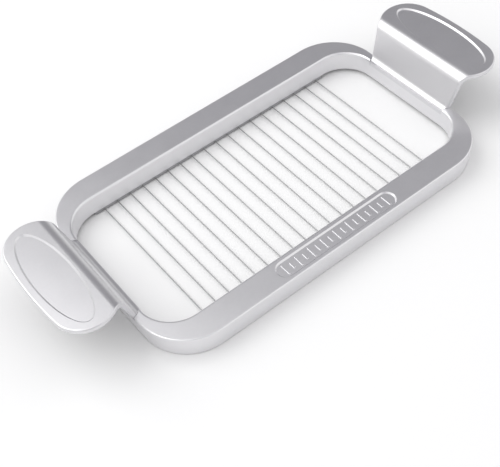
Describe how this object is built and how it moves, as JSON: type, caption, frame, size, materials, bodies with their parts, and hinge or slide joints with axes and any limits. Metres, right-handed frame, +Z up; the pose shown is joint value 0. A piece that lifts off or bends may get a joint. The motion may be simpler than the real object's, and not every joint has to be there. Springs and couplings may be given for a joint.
{
  "type": "wire butter slicer",
  "caption": "Shallow rounded-rectangle metal frame with thin parallel cutting wires stretched across its opening and a curved thumb plate rising from each end.",
  "frame": {"origin": "on the table, under the middle of the opening", "axes": "+Z up, +X along the long way of the frame from thumb plate to thumb plate, -Y the front rail with the pill-shaped recess; the wires run along Y"},
  "size_m": [0.2148, 0.0966, 0.0259],
  "materials": {
    "frame": "satin cast, fine grain",
    "handle": "satin cast, fine grain",
    "wire": "drawn stainless wire",
    "strip": "brushed stainless strip",
    "bead": "crimped, dull",
    "screw": "turned, satin"
  },
  "bodies": {
    "root": {"frame": "frame", "handle_left": "handle", "handle_right": "handle", "wire_01": "wire", "wire_02": "wire", "wire_03": "wire", "wire_04": "wire", "wire_05": "wire", "wire_06": "wire", "wire_07": "wire", "wire_08": "wire", "wire_09": "wire", "wire_10": "wire", "wire_11": "wire", "wire_12": "wire", "wire_13": "wire", "wire_14": "wire", "wire_15": "wire", "wire_16": "wire", "wire_17": "wire", "wire_18": "wire", "wire_19": "wire", "wire_strip_back": "strip", "wire_strip_front": "strip", "wire_beads_back": "bead", "wire_beads_front": "bead", "strip_screws_back": "screw", "strip_screws_front": "screw"}
  },
  "joints": []
}
